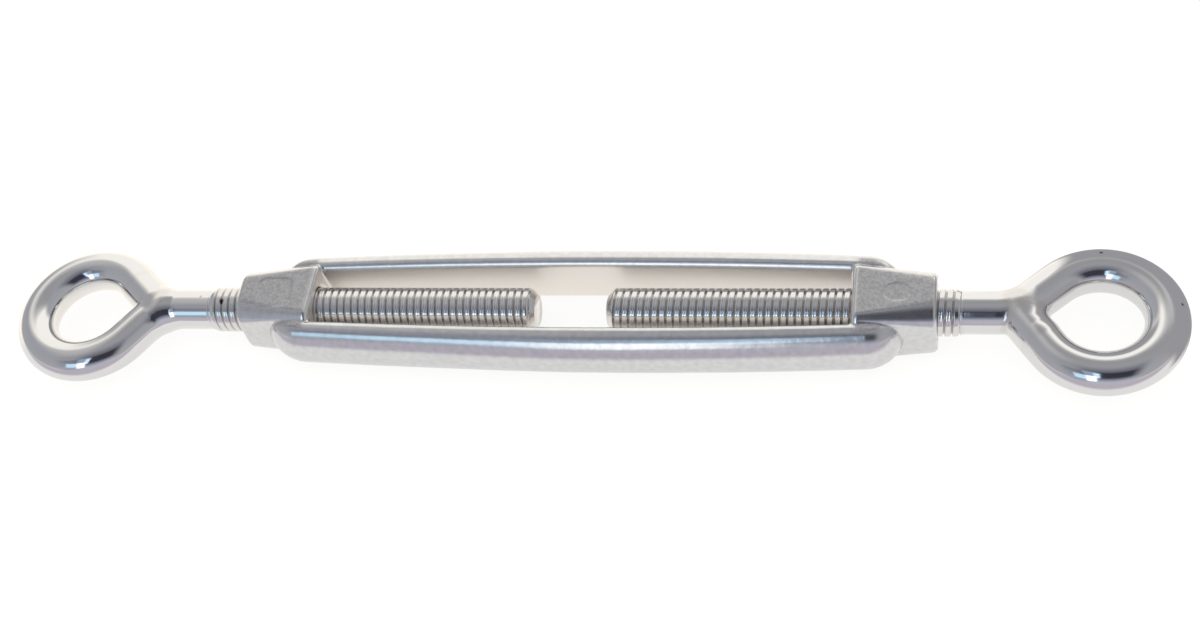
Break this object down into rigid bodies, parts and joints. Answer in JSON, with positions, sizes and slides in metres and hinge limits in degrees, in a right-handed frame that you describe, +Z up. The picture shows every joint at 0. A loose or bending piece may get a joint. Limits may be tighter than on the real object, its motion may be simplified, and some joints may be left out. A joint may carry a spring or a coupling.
{
  "type": "turnbuckle",
  "caption": "Open-frame turnbuckle in polished stainless steel with a right-hand and a left-hand threaded bolt, each ending in a closed welded eye.",
  "frame": {"origin": "middle of the frame, halfway between its two end blocks, on the common axis of the two screws", "axes": "+X along the screws towards the left-hand threaded bolt, +Y across the frame from bar to bar, +Z up out of the flat face of the frame and the eyes"},
  "size_m": [0.2004, 0.0268, 0.0122],
  "materials": {
    "cast_stainless": "cast stainless steel, tumbled and polished, satin on the flat faces of the end blocks",
    "rod_stainless": "stainless steel rod with a rolled thread, bent, welded and polished"
  },
  "bodies": {
    "frame": {"turnbuckle_frame": "cast_stainless"},
    "right_thread_bolt": {"right_thread_eye_bolt": "rod_stainless"},
    "left_thread_bolt": {"left_thread_eye_bolt": "rod_stainless"}
  },
  "joints": [
    {"name": "right_thread_screw", "type": "slide", "parent": "frame", "child": "right_thread_bolt", "axis": [-1, 0, 0], "range_m": [-0.0043, 0.038]},
    {"name": "left_thread_screw", "type": "slide", "parent": "frame", "child": "left_thread_bolt", "axis": [1, 0, 0], "range_m": [-0.0043, 0.038]}
  ],
  "couplings": [
    {"joint": "left_thread_screw", "follows": "right_thread_screw", "ratio": 1}
  ]
}
